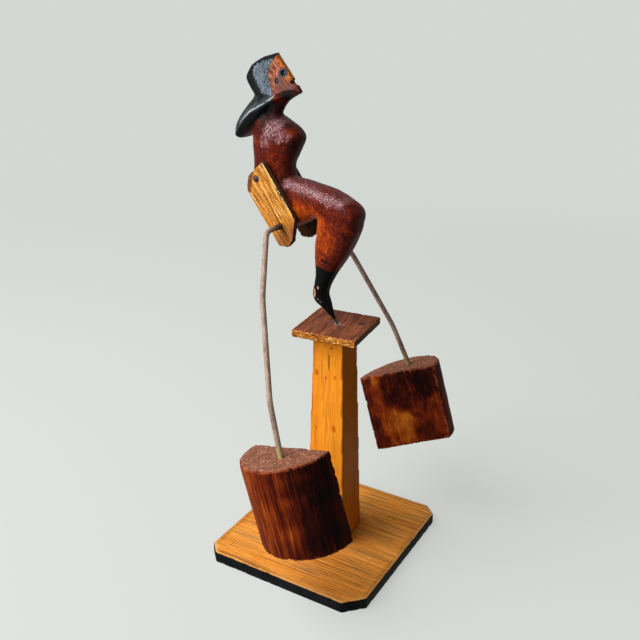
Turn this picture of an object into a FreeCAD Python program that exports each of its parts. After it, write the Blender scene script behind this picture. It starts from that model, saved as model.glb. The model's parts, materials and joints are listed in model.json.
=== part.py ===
import FreeCAD, Part
import math
import os

# Balancing figure: a carved figure stands on one toe on a post, and two half-round
# weights on bent wires hang below the toe and keep it upright. Millimetres, +Z up.
# The origin is the middle of the base plate's underside; the figure faces about +X.

# Base plate
base_depth = 76.0
base_width = 80.0
base_thickness = 5.4
base_corner = 5.0
base_near_corner = 7.6
base_edge_bevel = 0.4

# Post, a tapered square column
post_foot = 18.2
post_top = 13.4
post_height = 98.5
post_x = 3.1
post_y = 1.55
post_turn = 3.0

# Cap plate on the post
cap_side = 28.0
cap_thickness = 3.2
cap_edge_bevel = 0.3
cap_shift_x = 0.5
cap_shift_y = 0.3
cap_turn = 5.6

# Wood screw that comes up through the base into the post
screw_head = 6.6
screw_shank = 3.4
screw_length = 24.0

# Brads that hold the cap down
brad_head = 2.2
brad_head_thickness = 0.3
brad_shank = 1.2
brad_length = 14.0
brad_point = 1.0
brad_spacing = 7.6
brad_line = -38.2
brad_sink = 0.3

# Toe bearing: a dished seat in the cap, and a ball-ended pin in the toe
toe_shift_x = 0.33
toe_shift_y = -0.21
seat_diameter = 2.6
seat_depth = 1.2
seat_rim = 0.25
seat_flare = 0.3
ball_diameter = 1.2
ball_rise = 0.25
pin_diameter = 1.0
pin_length = 8.0
pin_slant = 38.0

# Carved figure, drawn to its height and sawn from a board of its width
figure_height = 105.0
figure_width = 13.0
figure_heading = -3.9
carved_roundness = 0.8

# Arm slats and the nails they turn on
slat_length = 34.0
slat_width = 13.9
slat_thickness = 2.6
slat_slope = 36.8
slat_nail_inset = 4.1
slat_wire_inset = 8.7
slat_wire_back = 0.95
arm_nail_head = 2.4
arm_nail_dome = 0.8
arm_nail_crown = 1.2
arm_nail_shoulder = 0.6
arm_nail_shank = 1.3
arm_nail_length = 8.0
arm_nail_point = 1.2

# Bent wires
wire_diameter = 2.2
wire_reach = 9.2
wire_bend_radius = 4.4
wire_lean = 20.9
wire_drop = 81.6
wire_spread = 31.5
wire_upper_splay = 31.0
wire_lower_splay = 9.9
wire_depth = 14.0
wire_bow_share = 0.85
wire_bow_bends = 2
wire_bow_radius = 30.0

# Half-round weights
weight_radius = 20.1
weight_length = 36.5
weight_past_centre = 1.4
weight_lean = 17.0
weight_turn = 4.0
weight_hole_inset = 9.3
weight_hole_forward = 2.673
weight_edge_bevel = 0.5

# How far out of square the ends of the weights were sawn, top and foot
saw_slants = {-1: (0.0, 5.0), 1: (-6.0, -9.0)}

# Clearances
fit = 0.02
running_fit = 0.05
face_gap = 0.05

# Places that follow from the sizes above
cap_bottom = base_thickness + post_height
cap_top = cap_bottom + cap_thickness
cap_x = post_x + cap_shift_x
cap_y = post_y + cap_shift_y
toe_x = cap_x + toe_shift_x
toe_y = cap_y + toe_shift_y
toe_z = cap_top + ball_rise
ball_radius = ball_diameter / 2
unit = figure_height / 105.0
half_width = figure_width / 2
slat_inner = half_width + face_gap
slat_outer = slat_inner + slat_thickness
nail_place = (-33.3 * unit, 57.4 * unit)

X = FreeCAD.Vector(1, 0, 0)
Y = FreeCAD.Vector(0, 1, 0)
Z = FreeCAD.Vector(0, 0, 1)
ORIGIN = FreeCAD.Vector(0, 0, 0)

os.makedirs("parts", exist_ok=True)


def vec(x, y, z):
    return FreeCAD.Vector(x, y, z)


def write(name, shape):
    shape.exportStep("parts/" + name + ".step")
    print(name, len(shape.Solids), "solids", round(shape.Volume, 1), "mm3", shape.isValid())


def turned(shape, centre, axis, degrees):
    shape = shape.copy()
    shape.rotate(centre, axis, degrees)
    return shape


def on_toe(shape):
    """Takes a piece drawn about the toe (x forward, y to the figure's left) to its place."""
    shape = turned(shape, ORIGIN, Z, figure_heading)
    shape.translate(vec(toe_x, toe_y, toe_z))
    return shape


def face_of(points):
    return Part.Face(Part.makePolygon(points + points[:1]))


def rounded_outline(corners, radii):
    """A closed flat outline through corners, each rounded by its own radius."""
    edges = []
    ends = []
    count = len(corners)
    for i in range(count):
        before = (corners[i - 1] - corners[i]).normalize()
        after = (corners[(i + 1) % count] - corners[i]).normalize()
        half_angle = before.getAngle(after) / 2
        reach = radii[i] / math.tan(half_angle)
        middle = (before + after).normalize()
        bulge = radii[i] / math.sin(half_angle) - radii[i]
        start = corners[i] + before * reach
        end = corners[i] + after * reach
        ends.append((start, corners[i] + middle * bulge, end))
    for i in range(count):
        start, middle, end = ends[i]
        edges.append(Part.Arc(start, middle, end).toShape())
        edges.append(Part.LineSegment(end, ends[(i + 1) % count][0]).toShape())
    return Part.Face(Part.Wire(edges))


def revolved(profile):
    """Turns a list of (radius, height) points about the Z axis."""
    face = face_of([vec(radius, 0, height) for radius, height in profile])
    return face.revolve(ORIGIN, Z, 360)


def base_outline():
    """The base seen from above: a rectangle with its corners cut off."""
    half_x = base_depth / 2
    half_y = base_width / 2
    corners = []
    for side_x, side_y, cut in (
        (1, -1, base_near_corner),
        (1, 1, base_corner),
        (-1, 1, base_corner),
        (-1, -1, base_corner),
    ):
        along_y = vec(side_x * half_x, side_y * (half_y - cut), 0)
        along_x = vec(side_x * (half_x - cut), side_y * half_y, 0)
        corners += [along_x, along_y] if side_x * side_y < 0 else [along_y, along_x]
    return face_of(corners)


def screw():
    radius = screw_shank / 2
    head = screw_head / 2
    point = screw_length - screw_shank
    profile = [(0, 0), (head, 0), (radius, head - radius), (radius, point)]
    return revolved(profile + [(0, screw_length)])


def screw_hole():
    radius = screw_shank / 2 + fit
    head = screw_head / 2 + fit
    deep = screw_length + face_gap
    return revolved([(0, 0), (head, 0), (radius, head - radius), (radius, deep), (0, deep)])


def at_post(shape, height):
    shape = turned(shape, ORIGIN, Z, post_turn)
    shape.translate(vec(post_x, post_y, height))
    return shape


def make_base():
    plate = base_outline().extrude(Z * base_thickness)
    rims = [edge for edge in plate.Edges if abs(edge.BoundBox.ZLength) < 0.001]
    plate = plate.makeChamfer(base_edge_bevel, rims)
    return plate.cut(at_post(screw_hole(), 0))


def make_post():
    foot = post_foot / 2
    top = post_top / 2
    column = Part.makeWedge(-foot, 0, -foot, -top, -top, foot, post_height, foot, top, top)
    column = at_post(turned(column, ORIGIN, X, 90), base_thickness)
    return column.cut(at_post(screw_hole(), 0)).cut(at_brads(brad_hole()))


def at_cap(shape, height):
    shape = turned(shape, ORIGIN, Z, cap_turn)
    shape.translate(vec(cap_x, cap_y, height))
    return shape


def brad():
    shank = brad_shank / 2
    head = brad_head / 2
    under = -brad_head_thickness
    point = brad_point - brad_length
    profile = [(0, 0), (head, 0), (head, under), (shank, under), (shank, point)]
    return revolved(profile + [(0, -brad_length)])


def brad_hole():
    shank = brad_shank / 2 + fit
    head = brad_head / 2 + fit
    top = brad_sink + face_gap
    under = -brad_head_thickness - face_gap
    deep = -brad_length - face_gap
    return revolved([(0, top), (head, top), (head, under), (shank, under), (shank, deep), (0, deep)])


def at_brads(one):
    """A pair, one each side of the cap's middle, with the heads sunk just under its face."""
    pair = []
    for side in (-1, 1):
        copy = one.copy()
        copy.translate(vec(side * brad_spacing / 2, 0, 0))
        pair.append(at_cap(turned(copy, ORIGIN, Z, brad_line), cap_top - brad_sink))
    return Part.makeCompound(pair)


def make_cap():
    half = cap_side / 2
    plate = Part.makeBox(cap_side, cap_side, cap_thickness, vec(-half, -half, 0))
    plate = at_cap(plate.makeChamfer(cap_edge_bevel, plate.Edges), cap_bottom)
    pocket = Part.makeCylinder(seat_diameter / 2 + fit, seat_depth + 1)
    pocket.translate(vec(toe_x, toe_y, cap_top - seat_depth))
    return plate.cut(pocket).cut(at_brads(brad_hole()))


def make_seat():
    """A dished seat, flush with the cap, whose hollow follows the ball and flares at its rim."""
    hollow = ball_radius + running_fit
    rim = seat_diameter / 2 - seat_rim
    cup = Part.makeCylinder(seat_diameter / 2, seat_depth, vec(0, 0, -ball_rise - seat_depth))
    cup = cup.cut(Part.makeSphere(hollow, ORIGIN))
    low = -ball_rise - seat_flare
    narrow = math.sqrt(hollow ** 2 - low ** 2)
    flare = revolved([(0, low), (narrow, low), (rim, -ball_rise), (rim, 0), (0, 0)])
    return on_toe(cup.cut(flare))


def pin_direction():
    slant = math.radians(pin_slant)
    return vec(-math.sin(slant), 0, math.cos(slant))


def make_pin():
    """The steel pin in the toe, hollowed at its end to the ball."""
    pin = Part.makeCylinder(pin_diameter / 2, pin_length, ORIGIN, pin_direction())
    return pin.cut(Part.makeSphere(ball_radius + running_fit, ORIGIN))


def pin_hole():
    return Part.makeCylinder(pin_diameter / 2 + fit, pin_length + fit, ORIGIN, pin_direction())


def ring(outer, inner, width, shape=None):
    """A cut across the figure between two points of its side outline: a board with carved edges."""
    outer = vec(outer[0], 0, outer[1]) * unit
    inner = vec(inner[0], 0, inner[1]) * unit
    side = Y * (width * half_width)
    middle = (outer + inner) / 2
    reach = (outer - inner) / 2
    half = shape if shape else carved_half(side.Length, reach.Length)
    turn = [(along, -across) for along, across in reversed(half) if across > 0]
    return [middle + reach * along + side * across for along, across in half + turn]


def carved_half(side, reach):
    """Half a section as shares of its two sizes: each corner is cut off in two facets."""
    radius = carved_roundness * min(side, reach)
    slope = 1 - math.sqrt(0.5)
    along, across = radius / reach, radius / side
    return [
        (1.0, 1 - across), (1 - slope * along, 1 - slope * across), (1 - along, 1.0),
        (along - 1, 1.0), (slope * along - 1, 1 - slope * across), (-1.0, 1 - across),
    ]


def carved(rows, shape=None):
    """A form in flat facets from cut to cut; each row is (front point, back point, width share)."""
    rings = [ring(front, back, share, shape) for front, back, share in rows]
    facets = [face_of(rings[0]), face_of(rings[-1])]
    for low, high in zip(rings, rings[1:]):
        for i in range(len(low)):
            facets.append(face_of([low[i - 1], low[i], high[i]]))
            facets.append(face_of([low[i - 1], high[i], high[i - 1]]))
    return Part.Solid(Part.Shell(facets)).removeSplitter()


def make_shin():
    return carved([
        ((-0.2, 1.2), (-1.4, 1.2), 0.12),
        ((-2.4, 5.0), (-6.1, 5.0), 0.28),
        ((-4.0, 8.4), (-10.2, 8.4), 0.46),
        ((-5.0, 11.8), (-11.1, 11.8), 0.52),
        ((-3.5, 16.4), (-9.9, 16.4), 0.54),
        ((-0.2, 22.4), (-9.2, 22.4), 0.66),
        ((5.1, 30.6), (-9.5, 30.6), 0.84),
        ((9.0, 38.4), (-8.5, 38.4), 0.96),
        ((10.4, 44.0), (-8.4, 44.0), 0.98),
    ])


def make_thigh():
    return carved([
        ((10.8, 47.2), (10.8, 44.4), 0.5),
        ((8.8, 49.6), (8.8, 42.0), 0.9),
        ((2.2, 53.4), (2.2, 41.4), 1.0),
        ((-7.8, 56.2), (-7.8, 42.1), 1.0),
        ((-17.7, 57.4), (-17.7, 40.0), 1.0),
        ((-26.0, 58.5), (-26.0, 38.9), 1.0),
        ((-33.2, 58.9), (-33.2, 41.8), 0.96),
        ((-37.9, 56.9), (-37.9, 46.8), 0.8),
    ])


def make_torso():
    return carved([
        ((-21.6, 50.0), (-38.2, 50.0), 0.94),
        ((-21.8, 60.0), (-38.8, 60.0), 0.86),
        ((-19.6, 67.4), (-38.9, 67.4), 0.92),
        ((-17.4, 72.4), (-39.1, 72.4), 0.98),
        ((-17.0, 75.2), (-39.2, 75.2), 0.98),
        ((-20.0, 77.8), (-39.2, 77.8), 0.9),
        ((-24.6, 80.2), (-38.6, 80.2), 0.76),
        ((-28.2, 82.2), (-37.4, 82.2), 0.56),
    ])


def make_neck():
    return carved([
        ((-26.8, 79.0), (-37.6, 79.0), 0.56),
        ((-26.4, 83.4), (-37.2, 83.4), 0.5),
        ((-24.2, 86.8), (-37.0, 86.8), 0.5),
        ((-19.4, 90.6), (-37.0, 90.6), 0.46),
    ])


def make_hair():
    """Hair that falls behind the neck and flares to a ridge over the shoulders."""
    section = [(1.0, 0.0), (0.84, 0.8), (0.12, 1.0), (-0.6, 0.62), (-1.0, 0.0)]
    return carved(
        [
            ((-29.2, 93.4), (-38.4, 95.0), 0.8),
            ((-29.0, 89.6), (-38.6, 91.0), 0.86),
            ((-30.4, 85.0), (-39.8, 87.6), 0.93),
            ((-33.6, 80.6), (-42.6, 84.8), 0.99),
            ((-37.4, 76.8), (-45.8, 81.2), 1.0),
            ((-41.2, 73.6), (-48.2, 77.2), 0.96),
            ((-45.2, 71.8), (-48.0, 73.2), 0.6),
        ],
        section,
    )


def extruded_between(outline, axis, reach):
    """An outline drawn in a plane through the origin, thickened to both sides of it."""
    shape = outline.copy()
    shape.translate(axis * -reach)
    return shape.extrude(axis * (2 * reach))


def side_outline(points, radii):
    return rounded_outline([vec(f, 0, z) * unit for f, z in points], [radius * unit for radius in radii])


def plan_outline(points, radii):
    """Half of a plan given as (forward, share of the half width), mirrored about the middle."""
    left = [vec(f * unit, share * half_width, 0) for f, share in points]
    right = [vec(f * unit, -share * half_width, 0) for f, share in reversed(points)]
    return rounded_outline(left + right, [radius * unit for radius in radii + radii[::-1]])


def make_head():
    """The head as it is sawn: a side outline and a plan outline that cut each other."""
    side = side_outline(
        [
            (-29.3, 104.5), (-21.8, 96.3), (-23.0, 94.8), (-21.6, 93.4), (-19.4, 93.5), (-18.0, 91.3),
            (-24.4, 89.4), (-28.4, 88.0), (-37.2, 87.0), (-39.9, 96.0), (-36.6, 99.8),
        ],
        [0.5, 0.25, 0.3, 0.3, 0.7, 0.5, 1.0, 1.0, 1.0, 4.0, 6.0],
    )
    plan = plan_outline(
        [(-17.0, 0.3), (-22.0, 0.38), (-28.0, 0.66), (-34.0, 0.84), (-41.0, 0.8), (-43.2, 0.45)],
        [0.3, 2.0, 3.0, 4.0, 1.6, 1.6],
    )
    head = extruded_between(side, Y, 2 * half_width)
    return head.common(extruded_between(plan, Z, 2 * figure_height))


def make_figure():
    body = make_shin().fuse([make_thigh(), make_torso(), make_neck(), make_head(), make_hair()])
    body = body.removeSplitter()
    body = body.cut(pin_hole())
    for side in (-1, 1):
        body = body.cut(at_arm(arm_nail_hole(), side))
    return body


def slat_point(along, across, lateral):
    """A point of an arm slat, from its nail: along it, across it to the front, and sideways."""
    slope = math.radians(slat_slope)
    down = vec(math.sin(slope), 0, -math.cos(slope))
    front = vec(math.cos(slope), 0, math.sin(slope))
    return vec(nail_place[0], lateral, nail_place[1]) + down * along + front * across


def at_arm(shape, side):
    """Lays a piece drawn along Z on an arm's nail axis, with its zero on the slat's outer face."""
    shape = turned(shape, ORIGIN, X, -90 * side)
    shape.translate(slat_point(0, 0, side * (slat_outer + face_gap)))
    return shape


def arm_nail():
    """A nail with a round head, its face in two slopes."""
    shank = arm_nail_shank / 2
    head = arm_nail_head / 2
    shoulder = (arm_nail_crown / 2, arm_nail_shoulder)
    profile = [(0, arm_nail_dome), shoulder, (head, 0), (shank, 0)]
    return revolved(profile + [(shank, arm_nail_point - arm_nail_length), (0, -arm_nail_length)])


def arm_nail_hole():
    return Part.makeCylinder(arm_nail_shank / 2 + fit, arm_nail_length + face_gap, ORIGIN, -Z)


def make_slat(side):
    half = slat_width / 2
    top = -slat_nail_inset
    bottom = slat_length - slat_nail_inset
    corners = [
        (top, half, 0.8),
        (bottom - 7.6, half, 2.5),
        (bottom - 0.6, 0.0, 3.0),
        (bottom, -half * 0.45, 2.0),
        (bottom - 2.8, -half, 2.0),
        (top + 5.4, -half, 3.5),
        (top + 1.2, -half * 0.45, 2.2),
    ]
    points = [slat_point(along, across, side * slat_inner) for along, across, radius in corners]
    face = rounded_outline(points, [radius for along, across, radius in corners])
    slat = face.extrude(Y * (side * slat_thickness))
    slat = slat.cut(slat_bore(side, 0, 0, arm_nail_shank / 2 + running_fit))
    return slat.cut(slat_bore(side, wire_hole_along(), -slat_wire_back, wire_diameter / 2 + fit))


def slat_bore(side, along, across, radius):
    start = slat_point(along, across, side * (slat_inner - 1))
    return Part.makeCylinder(radius, slat_thickness + 2, start, Y * side)


def wire_hole_along():
    return slat_length - slat_nail_inset - slat_wire_inset


def wire_point(side, lateral, drop):
    """A point in the wire's own plane, which leans forward from its hole in the slat."""
    lean = math.radians(wire_lean)
    hole = slat_point(wire_hole_along(), -slat_wire_back, 0)
    return hole + vec(drop * math.sin(lean), side * lateral, -drop * math.cos(lean))


def wire_corners(side):
    """The corners of the wire's path: hole, elbow, middle of the bow, weight and end."""
    upper = math.tan(math.radians(wire_upper_splay))
    lower = math.tan(math.radians(wire_lower_splay))
    elbow = slat_outer + wire_reach
    foot = elbow + wire_spread
    bow = (wire_spread - lower * wire_drop) / (upper - lower)
    deep = wire_drop + wire_depth
    return [
        wire_point(side, slat_inner, 0),
        wire_point(side, elbow, 0),
        wire_point(side, elbow + upper * bow, bow),
        wire_point(side, foot, wire_drop),
        wire_point(side, foot + lower * wire_depth, deep),
    ]


def bow(start, corner, end):
    """The corners of an even bow, which turns from one straight length to the next in small bends."""
    before = (corner - start).normalize()
    after = (end - corner).normalize()
    axis = before.cross(after).normalize()
    turn = before.getAngle(after)
    reach = wire_bow_share * min((corner - start).Length, (end - corner).Length)
    radius = reach / math.tan(turn / 2)
    centre = corner - before * reach + axis.cross(before) * radius
    first = corner - before * (reach - radius * math.tan(turn / 2 / wire_bow_bends)) - centre
    step = math.degrees(turn) / wire_bow_bends
    return [centre + FreeCAD.Rotation(axis, i * step).multVec(first) for i in range(wire_bow_bends)]


def rod(start, end):
    return Part.makeCylinder(wire_diameter / 2, (end - start).Length, start, end - start)


def bent_rod(start, way, ahead, radius):
    """A length of wire that turns from one direction to another."""
    axis = way.cross(ahead).normalize()
    centre = start + axis.cross(way) * radius
    section = Part.Face(Part.Wire(Part.makeCircle(wire_diameter / 2, start, way)))
    return section.revolve(centre, axis, math.degrees(way.getAngle(ahead)))


def make_wire(side):
    """Straight lengths and bends, each bend tangent to the two lengths beside it."""
    hole, elbow, middle, foot, end = wire_corners(side)
    corners = [elbow] + bow(elbow, middle, end)
    radii = [wire_bend_radius] + [wire_bow_radius] * wire_bow_bends
    lengths = []
    start = hole
    for corner, after, radius in zip(corners, corners[1:] + [end], radii):
        way = (corner - start).normalize()
        ahead = (after - corner).normalize()
        reach = radius * math.tan(way.getAngle(ahead) / 2)
        lengths.append(rod(start, corner - way * reach))
        lengths.append(bent_rod(corner - way * reach, way, ahead, radius))
        start = corner + ahead * reach
    lengths.append(rod(start, end))
    return lengths[0].fuse(lengths[1:]).removeSplitter()


def sawn(log, height, slant, above):
    """Saws a log off at a height, on a plane tipped to the front, and drops what is above or below."""
    reach = 2 * (weight_length + weight_radius)
    waste = Part.makeBox(reach, reach, reach, vec(-reach / 2, -reach / 2, 0 if above else -reach))
    waste = turned(waste, ORIGIN, Y, slant)
    waste.translate(vec(0, 0, height))
    return log.cut(waste)


def make_weight(side):
    """A half-round log, flat towards the post, drawn about its wire hole and then leaned."""
    radius = weight_radius
    past = weight_past_centre
    half_chord = math.sqrt(radius ** 2 - past ** 2)
    left = vec(-half_chord, 0, radius)
    right = vec(half_chord, 0, radius)
    crown = vec(0, side * (radius + past), radius)
    bark_side = Part.Arc(left, crown, right).toShape()
    flat_side = Part.LineSegment(right, left).toShape()
    log = Part.Face(Part.Wire([bark_side, flat_side])).extrude(Z * -(weight_length + 2 * radius))
    top_slant, foot_slant = saw_slants[side]
    log = sawn(log, 0, top_slant, True)
    log = sawn(log, -weight_length, foot_slant, False)
    log = log.makeChamfer(weight_edge_bevel, log.Edges)
    log.translate(vec(-weight_hole_forward, -side * weight_hole_inset, 0))
    log.rotate(ORIGIN, Z, side * weight_turn)
    log.rotate(ORIGIN, Y, -weight_lean)
    foot, end = wire_corners(side)[3:]
    log.translate(foot)
    deep = (end - foot).Length
    way = (end - foot).normalize()
    above = wire_diameter
    bore = Part.makeCylinder(wire_diameter / 2 + fit, deep + above + fit, foot - way * above, way)
    return log.cut(bore)


write("base_plate", make_base())
write("base_screw", at_post(screw(), 0))
write("post", make_post())
write("cap_plate", make_cap())
write("cap_brads", at_brads(brad()))
write("seat_cup", make_seat())
write("pivot_ball", on_toe(Part.makeSphere(ball_radius, ORIGIN)))
write("toe_pin", on_toe(make_pin()))
write("figure", on_toe(make_figure()))
for name, side in (("right", -1), ("left", 1)):
    write(name + "_arm_slat", on_toe(make_slat(side)))
    write(name + "_arm_nail", on_toe(at_arm(arm_nail(), side)))
    write(name + "_wire", on_toe(make_wire(side)))
    write(name + "_weight", on_toe(make_weight(side)))
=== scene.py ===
import json
import math

import bmesh
import bpy
import numpy as np
from mathutils import Matrix, Vector, noise


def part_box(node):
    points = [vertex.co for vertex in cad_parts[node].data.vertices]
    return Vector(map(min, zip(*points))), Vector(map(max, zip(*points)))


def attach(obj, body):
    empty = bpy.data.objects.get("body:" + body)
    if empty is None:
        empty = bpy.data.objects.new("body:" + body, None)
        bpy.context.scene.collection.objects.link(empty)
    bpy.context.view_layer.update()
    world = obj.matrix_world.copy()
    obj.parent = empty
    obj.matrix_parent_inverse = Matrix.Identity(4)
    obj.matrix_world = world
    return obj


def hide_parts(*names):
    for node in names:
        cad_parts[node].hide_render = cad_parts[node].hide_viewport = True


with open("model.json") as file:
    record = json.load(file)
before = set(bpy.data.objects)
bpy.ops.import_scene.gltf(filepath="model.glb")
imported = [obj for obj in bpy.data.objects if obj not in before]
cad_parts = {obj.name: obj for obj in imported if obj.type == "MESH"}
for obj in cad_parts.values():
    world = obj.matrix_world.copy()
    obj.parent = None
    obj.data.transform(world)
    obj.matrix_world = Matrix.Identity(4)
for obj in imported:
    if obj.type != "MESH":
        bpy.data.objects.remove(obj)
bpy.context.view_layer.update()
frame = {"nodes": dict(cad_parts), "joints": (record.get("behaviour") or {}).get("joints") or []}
mm = 0.001
farOff = 9.0  # painted as the distance to a mark where it can't reach, in millimetres

# A balancing toy: a carved figure on one toe, and two half-round weights hung from its arms.
# Each piece is shaped in its own axes, and its finish is laid out in millimetres along them.

joints = {joint["name"]: joint for joint in frame["joints"]}
ahead = Vector(joints["side_rock"]["axis"])  # the way the figure faces
leftward = Vector(joints["fore_aft_rock"]["axis"])
upward = Vector((0, 0, 1))
nodes = frame["nodes"]
sides = {"right": -1, "left": 1}


def axesAt(origin, forward, over=(0, 0, 1)):
    # a place with its x axis along forward, and its z axis as near to over as it can be
    x = Vector(forward).normalized()
    y = Vector(over).cross(x).normalized()
    turned = Matrix((x, y, x.cross(y))).transposed()
    return Matrix.Translation(Vector(origin)) @ turned.to_4x4()


def middleOf(node):
    low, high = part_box(node)
    return (low + high) / 2


def inDegrees(first, second, degrees):
    # a direction between two square ones
    angle = math.radians(degrees)
    return first * math.cos(angle) + second * math.sin(angle)


def srgb(red, green, blue):
    shares = [c / 255 for c in (red, green, blue)]
    return tuple(c / 12.92 if c < 0.04 else ((c + 0.055) / 1.055) ** 2.4 for c in shares)


def tones(*stops):
    # the colours of a ramp, each after its place on it
    return [(place, srgb(*colour)) for place, *colour in stops]


# Finishes: one strand of a shader, with its maths as plain expressions
class Strand:
    def __init__(self, finish, socket):
        self.finish = finish
        self.socket = socket

    def joined(self, operation, first, second):
        pair = (first, second)
        vector = any(isinstance(s, Strand) and s.socket.type != "VALUE" for s in pair)
        node = self.finish.tree.nodes.new("ShaderNodeVectorMath" if vector else "ShaderNodeMath")
        node.operation = operation
        for socket, value in zip(node.inputs, pair):
            spread = vector and isinstance(value, (int, float))
            self.finish.plug(socket, (value,) * 3 if spread else value)
        return Strand(self.finish, node.outputs[0])

    def __add__(self, other):
        return self.joined("ADD", self, other)

    def __radd__(self, other):
        return self.joined("ADD", other, self)

    def __sub__(self, other):
        return self.joined("SUBTRACT", self, other)

    def __rsub__(self, other):
        return self.joined("SUBTRACT", other, self)

    def __mul__(self, other):
        return self.joined("MULTIPLY", self, other)

    def __rmul__(self, other):
        return self.joined("MULTIPLY", other, self)

    def sway(self, reach=1.0):
        # noise that goes to both sides of 0, over a reach
        return (self - 0.5) * reach


class Recipe:
    def __init__(self, tree, packed=False):
        self.tree = tree
        self.packed = packed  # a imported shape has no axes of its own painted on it

    def plug(self, socket, value):
        if isinstance(value, Strand):
            self.tree.links.new(value.socket, socket)
        elif socket.type == "RGBA":
            socket.default_value = (*value[:3], 1)
        else:
            socket.default_value = value

    def add(self, kind, settings=None, sockets=None, out=0):
        node = self.tree.nodes.new("ShaderNode" + kind)
        for name, value in (settings or {}).items():
            if name == "stops":
                self.stop(node.color_ramp, value)
            else:
                setattr(node, name, value)
        for name, value in (sockets or {}).items():
            self.plug(node.inputs[name], value)
        return Strand(self, node.outputs[out]) if node.outputs else node

    def stop(self, ramp, stops):
        for place, colour in stops[2:]:
            ramp.elements.new(place)
        elements = sorted(ramp.elements, key=lambda e: e.position)
        for element, (place, colour) in zip(elements, sorted(stops)):
            element.position = place
            element.color = (*colour, 1)

    def place(self, size=1.0, stretch=(1, 1, 1), shift=0.0, turn=0.0):
        scale = tuple(1 / (mm * size * s) for s in stretch)
        if self.packed:
            spot = self.add("TexCoord", out="Object")
        else:
            spot = self.add("Attribute", {"attribute_name": "ownPlace"}, out="Vector")
        if turn:
            about = {"rotation_type": "Y_AXIS"}
            spot = self.add("VectorRotate", about, {"Vector": spot, "Angle": turn})
        return spot * scale + shift

    def cloud(self, size, stretch=(1, 1, 1), detail=3.0, rough=0.55, warp=0.0, shift=0.0, turn=0.0):
        # noise whose cells are size millimetres wide, longer along a stretched axis
        sockets = {"Vector": self.place(size, stretch, shift, turn), "Scale": 1.0, "Detail": detail}
        sockets.update({"Roughness": rough, "Distortion": warp})
        return self.add("TexNoise", sockets=sockets)

    def between(self, value, low, high):
        span = {"Value": value, "From Min": low, "From Max": high}
        return self.add("MapRange", {"interpolation_type": "SMOOTHSTEP"}, span)

    def most(self, first, second):
        return self.add("Math", {"operation": "MAXIMUM"}, {0: first, 1: second})

    def seen(self):
        # 1 for the rays that show a thing, 0 for those that only light others
        kinds = ("Camera", "Glossy", "Transmission")
        camera, gloss, glass = (self.add("LightPath", out=f"Is {kind} Ray") for kind in kinds)
        return self.most(self.most(camera, gloss), glass)

    def painted(self, name):
        return self.add("Attribute", {"attribute_name": name}, out="Fac")

    def along(self, axis):
        # millimetres along one of the piece's own axes
        return self.add("SeparateXYZ", sockets={0: self.place()}, out=axis)

    def ramp(self, value, stops):
        return self.add("ValToRGB", {"stops": stops}, {"Fac": value})

    def mix(self, factor, first, second):
        return self.add("Mix", {"data_type": "RGBA"}, {0: factor, 6: first, 7: second}, out=2)

    def coats(self, colour, *layers):
        # tones laid on one by one: each by a mask, or as a value goes from low to high, times
        # a share
        for tone, value, *span in layers:
            mask = self.between(value, *span[:2]) if span else value
            for share in span[2:]:
                mask = mask * share
            colour = self.mix(mask, colour, tone)
        return colour

    def bump(self, height, reach, strength=1.0):
        sockets = {"Height": height, "Distance": reach * mm, "Strength": strength}
        return self.add("Bump", sockets=sockets)


class Finish(Recipe):
    def __init__(self, name, packed=False, **fixed):
        self.material = bpy.data.materials.new(name)
        self.material.use_nodes = True
        super().__init__(self.material.node_tree, packed)
        self.shader = self.tree.nodes["Principled BSDF"]
        self.lay(**fixed)

    def lay(self, **layers):
        # baseColor feeds Base Color, coatWeight feeds Coat Weight, and so on
        for name, value in layers.items():
            spaced = "".join(" " + c if c.isupper() else c for c in name).title()
            self.plug(self.shader.inputs[spaced.replace("Ior", "IOR")], value)


# Shapes: meshes read and written as rows of numbers
def pointsOf(mesh):
    rows = np.empty(len(mesh.vertices) * 3)
    mesh.vertices.foreach_get("co", rows)
    return rows.reshape(-1, 3) / mm


def normalsOf(mesh):
    rows = np.empty(len(mesh.vertices) * 3)
    mesh.vertex_normals.foreach_get("vector", rows)
    return rows.reshape(-1, 3)


def setPoints(mesh, points):
    mesh.vertices.foreach_set("co", (points * mm).ravel())
    mesh.update()


def paint(mesh, **layers):
    # a number at each point for every layer, which the finishes read by its name
    for name, values in layers.items():
        layer = mesh.attributes.new(name, "FLOAT", "POINT")
        layer.data.foreach_set("value", np.asarray(values, np.float32))


def clouds(points, size, seed, stretch=(1, 1, 1)):
    # noise from about -1 to 1 at each point, in cells of size millimetres
    cells = points / (np.array(stretch) * size) + seed
    return np.array([noise.noise(Vector(cell)) for cell in cells])


def smoothed(mesh, values, rounds):
    # each value becomes the mean of its neighbours', a number of times
    pairs = np.empty(len(mesh.edges) * 2, np.int64)
    mesh.edges.foreach_get("vertices", pairs)
    start, end = pairs.reshape(-1, 2).T
    count = len(mesh.vertices)
    shared = np.bincount(start, minlength=count) + np.bincount(end, minlength=count)
    values = np.array(values, float)
    for _ in range(rounds):
        for column in values.T if values.ndim > 1 else [values]:
            total = np.bincount(start, column[end], count) + np.bincount(end, column[start], count)
            column[:] = total / np.maximum(shared, 1)
    return values


def step(values, low, high):
    share = np.clip((values - low) / (high - low), 0, 1)
    return share * share * (3 - 2 * share)


def proudness(mesh, rounds):
    # how far a point stands out of the surface round it, in millimetres
    points = pointsOf(mesh)
    return ((points - smoothed(mesh, points, rounds)) * normalsOf(mesh)).sum(1)


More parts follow.
